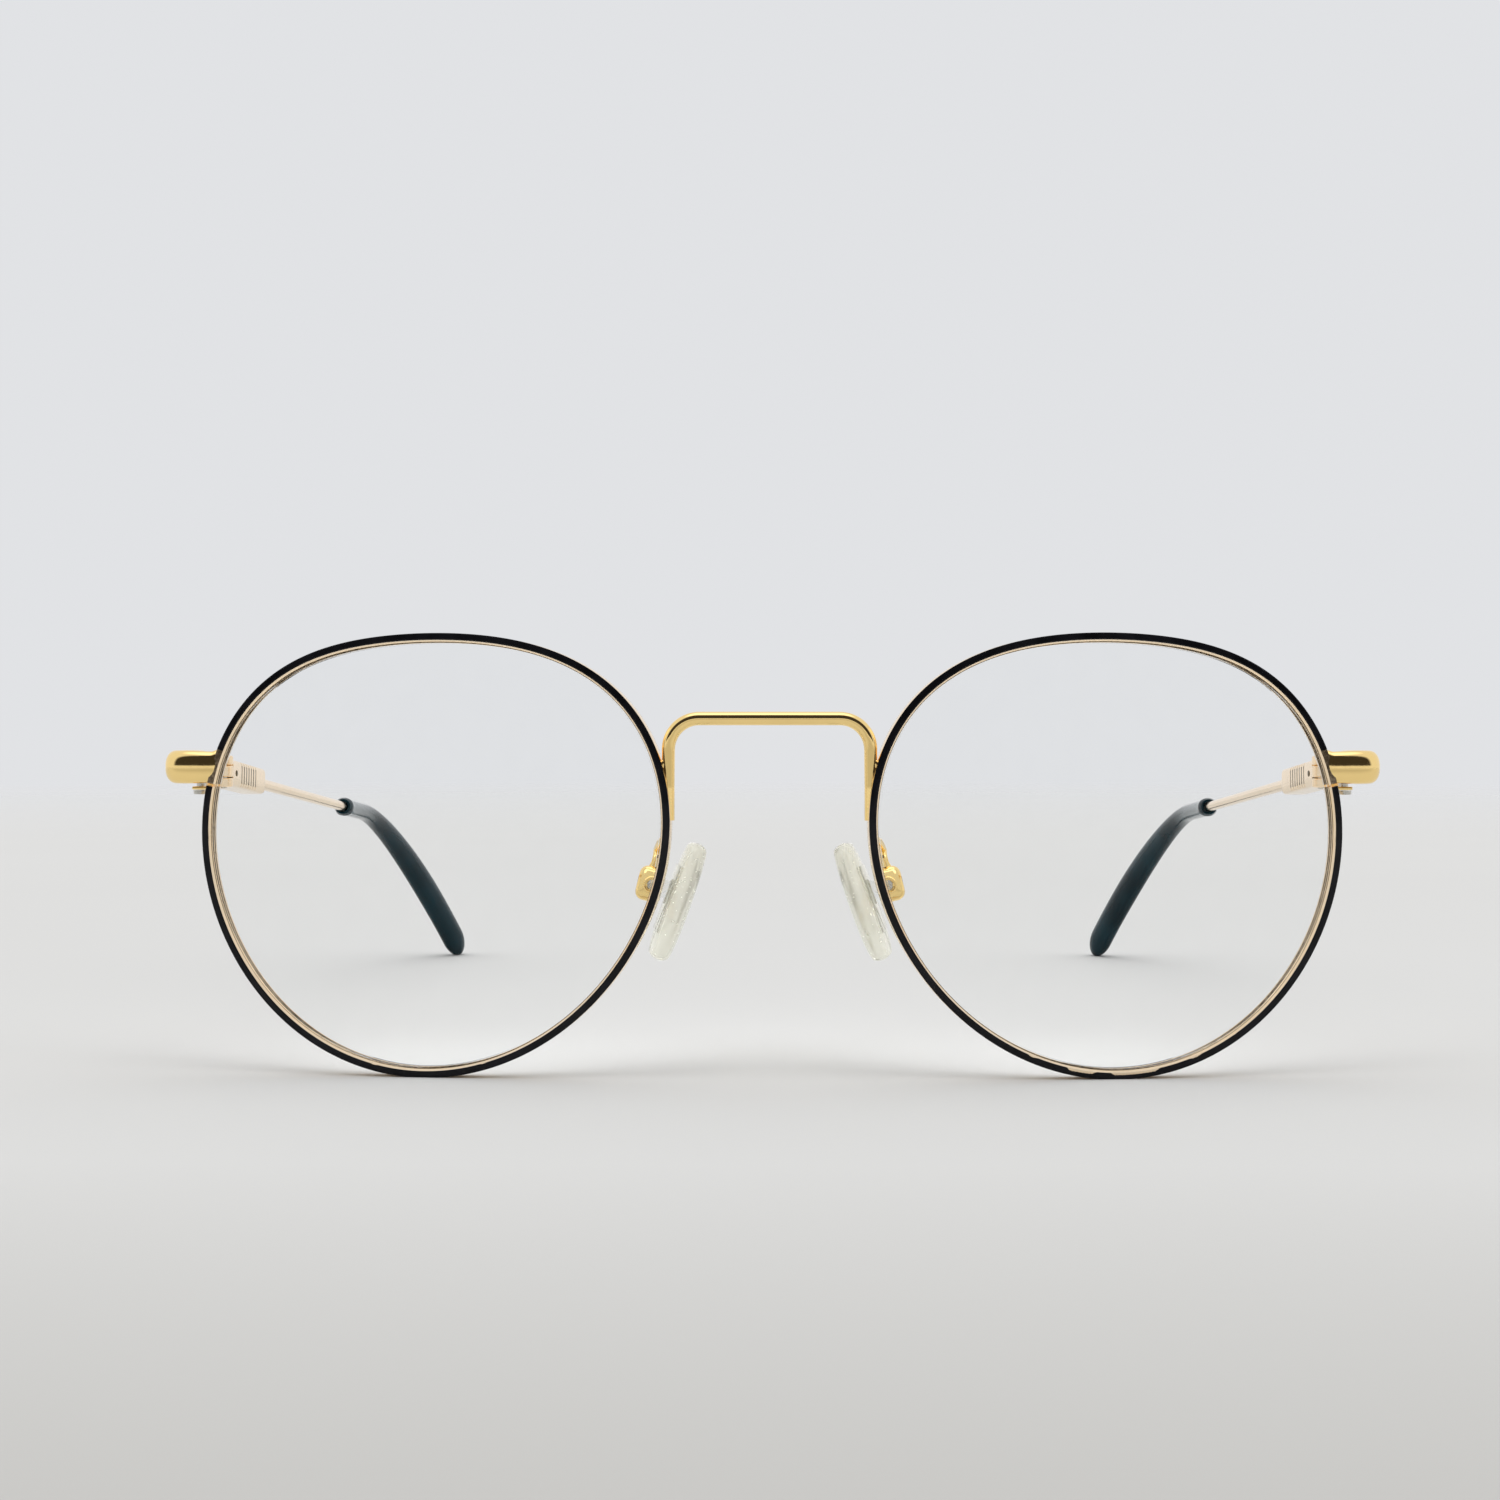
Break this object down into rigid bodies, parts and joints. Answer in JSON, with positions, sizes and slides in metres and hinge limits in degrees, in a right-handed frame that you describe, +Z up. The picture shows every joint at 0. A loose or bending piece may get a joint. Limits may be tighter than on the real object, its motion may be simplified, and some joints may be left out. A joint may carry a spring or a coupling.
{
  "type": "eyeglasses",
  "caption": "Metal spectacles with gold bridge and end pieces, black enamelled rims, clear lenses, adjustable nose pads, sprung folding temples and dark acetate tips.",
  "frame": {"origin": "on the ground that the open glasses stand on, midway between the two sides and midway between the front and the tips' ends", "axes": "+Z up, -Y the way the wearer looks, +X to the wearer's left"},
  "size_m": [0.1368, 0.1444, 0.0492],
  "materials": {
    "gold": "polished gold plating on nickel silver",
    "enamelled_rim": "gold-plated rim with glossy black enamel on its front face",
    "lens": "clear polished lens",
    "steel": "plain bright screws and hinge parts",
    "silicone": "clear soft silicone, slightly yellowed",
    "clear_plastic": "clear hard insert",
    "acetate": "glossy dark blue-green acetate"
  },
  "bodies": {
    "front": {"bridge": "gold", "eyewire_left": "enamelled_rim", "lens_left": "lens", "end_piece_left": "gold", "lock_block_left": "gold", "lock_screw_left": "steel", "front_hinge_left": "gold", "hinge_screw_left": "steel", "pad_arm_left": "gold", "pad_box_left": "gold", "pad_screw_left": "steel", "eyewire_right": "enamelled_rim", "lens_right": "lens", "end_piece_right": "gold", "lock_block_right": "gold", "lock_screw_right": "steel", "front_hinge_right": "gold", "hinge_screw_right": "steel", "pad_arm_right": "gold", "pad_box_right": "gold", "pad_screw_right": "steel"},
    "slider_left": {"hinge_slider_left": "steel", "slider_nut_left": "steel"},
    "temple_left": {"spring_box_left": "gold", "temple_wire_left": "gold", "temple_tip_left": "acetate", "spring_bushing_left": "steel", "hinge_spring_left": "steel", "box_pin_left": "gold"},
    "pad_left": {"nose_pad_left": "silicone", "pad_core_left": "clear_plastic"},
    "slider_right": {"hinge_slider_right": "steel", "slider_nut_right": "steel"},
    "temple_right": {"spring_box_right": "gold", "temple_wire_right": "gold", "temple_tip_right": "acetate", "spring_bushing_right": "steel", "hinge_spring_right": "steel", "box_pin_right": "gold"},
    "pad_right": {"nose_pad_right": "silicone", "pad_core_right": "clear_plastic"}
  },
  "joints": [
    {"name": "temple_fold_left", "type": "hinge", "parent": "front", "child": "slider_left", "pos_m": [0.06328, -0.05881, 0.0337], "axis": [0, 0, 1], "range_deg": [-10, 87]},
    {"name": "spring_travel_left", "type": "slide", "parent": "slider_left", "child": "temple_left", "axis": [0, 0.9963, -0.0854], "range_m": [0, 0.0012], "stiffness_N_per_m": 4000, "springref_m": -0.001, "deforming": ["hinge_spring_left"]},
    {"name": "pad_rock_left", "type": "hinge", "parent": "front", "child": "pad_left", "pos_m": [0.0133, -0.06295, 0.021], "axis": [0, 1, 0], "range_deg": [-10, 10]},
    {"name": "temple_fold_right", "type": "hinge", "parent": "front", "child": "slider_right", "pos_m": [-0.06328, -0.05881, 0.0337], "axis": [0, 0, -1], "range_deg": [-10, 83]},
    {"name": "spring_travel_right", "type": "slide", "parent": "slider_right", "child": "temple_right", "axis": [0, 0.9963, -0.0854], "range_m": [0, 0.0012], "stiffness_N_per_m": 4000, "springref_m": -0.001, "deforming": ["hinge_spring_right"]},
    {"name": "pad_rock_right", "type": "hinge", "parent": "front", "child": "pad_right", "pos_m": [-0.0133, -0.06295, 0.021], "axis": [0, 1, 0], "range_deg": [-10, 10]}
  ]
}
